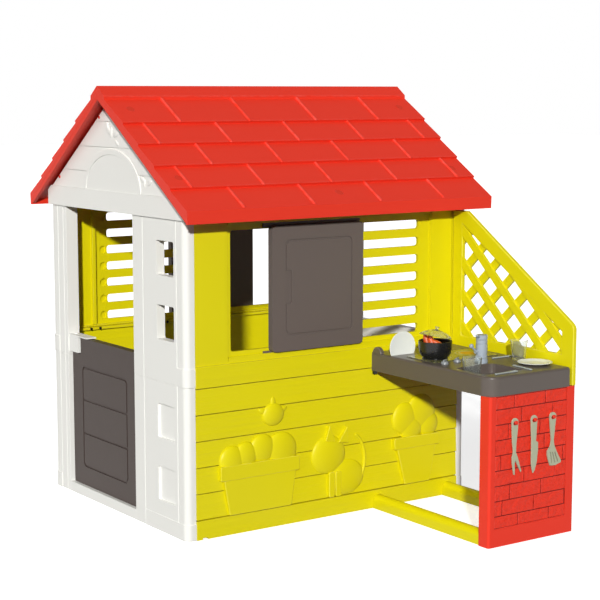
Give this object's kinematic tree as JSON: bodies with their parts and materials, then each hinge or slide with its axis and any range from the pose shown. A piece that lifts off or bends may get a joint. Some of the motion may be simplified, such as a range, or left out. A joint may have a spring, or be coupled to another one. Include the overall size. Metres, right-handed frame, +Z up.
{
  "type": "plastic playhouse",
  "caption": "Moulded plastic playhouse with a tiled gable roof, sliding shutters, a half door and a play kitchen with sink, hob and utensils at its side.",
  "frame": {"origin": "on the ground, under the centre of the whole object's bounding box", "axes": "+X along the ridge, from the door gable to the plain gable; +Y from the kitchen side to the back; +Z up"},
  "size_m": [1.108, 1.437, 1.2699],
  "materials": {
    "yellow_wall": "blow-moulded, fine grain",
    "white_gable": "blow-moulded, fine grain",
    "red_roof": "injection-moulded, fine grain",
    "red_clip": "injection-moulded",
    "taupe_shutter": "blow-moulded, fine grain",
    "taupe_door": "blow-moulded, fine grain",
    "taupe_worktop": "satin",
    "hob_print": "gloss",
    "pale_grey": "satin",
    "tap_grey": "metallic look, satin",
    "sage_utensil": "injection-moulded",
    "cutlery_grey": "satin",
    "plate_white": "gloss",
    "pot_black": "satin",
    "food_orange": "gloss",
    "clear_plastic": "clear, gloss"
  },
  "bodies": {
    "house": {"front_lower_wall": "yellow_wall", "front_upper_wall": "yellow_wall", "front_roof_slope": "red_roof", "front_roof_clip_1": "red_clip", "front_roof_clip_2": "red_clip", "front_roof_clip_3": "red_clip", "front_roof_clip_4": "red_clip", "front_roof_clip_5": "red_clip", "rear_lower_wall": "yellow_wall", "rear_upper_wall": "yellow_wall", "rear_roof_slope": "red_roof", "rear_roof_clip_1": "red_clip", "rear_roof_clip_2": "red_clip", "rear_roof_clip_3": "red_clip", "rear_roof_clip_4": "red_clip", "rear_roof_clip_5": "red_clip", "door_gable_panel_lower": "white_gable", "door_gable_panel_upper": "white_gable", "door_gable_post_lower": "white_gable", "door_gable_post_upper": "white_gable", "door_gable_top": "white_gable", "plain_gable_panel_lower": "white_gable", "plain_gable_panel_upper": "white_gable", "plain_gable_post_lower": "white_gable", "plain_gable_post_upper": "white_gable", "plain_gable_top": "white_gable", "door_gable_sill": "white_gable", "plain_gable_infill": "white_gable", "door_hinge_bracket": "white_gable", "door_hinge_pin": "white_gable", "brick_end_panel": "red_roof", "worktop": "taupe_worktop", "worktop_wall_clip": "pot_black", "hob_plate": "hob_print", "tap_body": "tap_grey", "base_rail_left": "yellow_wall", "base_rail_right": "yellow_wall", "lattice_panel": "yellow_wall"},
    "half_door": {"half_door": "taupe_door"},
    "front_shutter": {"front_shutter": "taupe_shutter"},
    "rear_shutter": {"rear_shutter": "taupe_shutter"},
    "hob_knob_left": {"hob_knob_left": "pale_grey"},
    "hob_knob_right": {"hob_knob_right": "pale_grey"},
    "tap_spout": {"tap_spout": "tap_grey"},
    "tap_lever": {"tap_lever": "tap_grey"},
    "serving_fork": {"serving_fork": "sage_utensil"},
    "kitchen_knife": {"kitchen_knife": "sage_utensil"},
    "slotted_spatula": {"slotted_spatula": "sage_utensil"},
    "standing_plate": {"standing_plate": "plate_white"},
    "cooking_pot": {"cooking_pot": "pot_black", "pot_food": "food_orange"},
    "pot_lid": {"pot_lid": "clear_plastic"},
    "tumbler": {"tumbler": "clear_plastic"},
    "beaker": {"beaker": "clear_plastic"},
    "dinner_plate": {"dinner_plate": "plate_white"},
    "table_fork": {"table_fork": "cutlery_grey"},
    "table_knife": {"table_knife": "cutlery_grey"},
    "table_spoon": {"table_spoon": "cutlery_grey"}
  },
  "joints": [
    {"name": "half_door_hinge", "type": "hinge", "parent": "house", "child": "half_door", "pos_m": [-0.4855, 0.5255, 0.034], "axis": [0, 0, -1], "range_deg": [0, 90]},
    {"name": "front_shutter_slide", "type": "slide", "parent": "house", "child": "front_shutter", "axis": [1, 0, 0], "range_m": [-0.1215, 0.2675]},
    {"name": "rear_shutter_slide", "type": "slide", "parent": "house", "child": "rear_shutter", "axis": [-1, 0, 0], "range_m": [-0.1015, 0.2873]},
    {"name": "hob_knob_left_turn", "type": "hinge", "parent": "house", "child": "hob_knob_left", "pos_m": [0.1825, -0.4615, 0.4803], "axis": [0, 0, 1], "range_deg": [-135, 135]},
    {"name": "hob_knob_right_turn", "type": "hinge", "parent": "house", "child": "hob_knob_right", "pos_m": [0.2345, -0.4555, 0.4803], "axis": [0, 0, 1], "range_deg": [-135, 135]},
    {"name": "tap_spout_swivel", "type": "hinge", "parent": "house", "child": "tap_spout", "pos_m": [0.2815, -0.5065, 0.5486], "axis": [0, 0, 1], "range_deg": [-90, 90]},
    {"name": "tap_lever_turn", "type": "hinge", "parent": "house", "child": "tap_lever", "pos_m": [0.263, -0.5065, 0.5143], "axis": [-1, 0, 0], "range_deg": [-60, 60]},
    {"name": "serving_fork_swing", "type": "hinge", "parent": "house", "child": "serving_fork", "pos_m": [0.2275, -0.708, 0.3475], "axis": [0, 1, 0], "range_deg": [-12, 40]},
    {"name": "kitchen_knife_swing", "type": "hinge", "parent": "house", "child": "kitchen_knife", "pos_m": [0.299, -0.708, 0.3475], "axis": [0, 1, 0], "range_deg": [-12, 12]},
    {"name": "slotted_spatula_swing", "type": "hinge", "parent": "house", "child": "slotted_spatula", "pos_m": [0.3705, -0.708, 0.3475], "axis": [0, 1, 0], "range_deg": [-40, 12]},
    {"name": "standing_plate_lift", "type": "slide", "parent": "house", "child": "standing_plate", "axis": [0, 0, 1], "range_m": [0, 0.12]},
    {"name": "cooking_pot_lift", "type": "slide", "parent": "house", "child": "cooking_pot", "axis": [0, 0, 1], "range_m": [0, 0.12]},
    {"name": "pot_lid_lift", "type": "slide", "parent": "cooking_pot", "child": "pot_lid", "axis": [0, 0, 1], "range_m": [0, 0.1]},
    {"name": "tumbler_lift", "type": "slide", "parent": "house", "child": "tumbler", "axis": [0, 0, 1], "range_m": [0, 0.12]},
    {"name": "beaker_lift", "type": "slide", "parent": "house", "child": "beaker", "axis": [0, 0, 1], "range_m": [0, 0.12]},
    {"name": "dinner_plate_lift", "type": "slide", "parent": "house", "child": "dinner_plate", "axis": [0, 0, 1], "range_m": [0, 0.12]},
    {"name": "table_fork_lift", "type": "slide", "parent": "house", "child": "table_fork", "axis": [0, 0, 1], "range_m": [0, 0.1]},
    {"name": "table_knife_lift", "type": "slide", "parent": "house", "child": "table_knife", "axis": [0, 0, 1], "range_m": [0, 0.1]},
    {"name": "table_spoon_lift", "type": "slide", "parent": "house", "child": "table_spoon", "axis": [0, 0, 1], "range_m": [0, 0.1]}
  ]
}
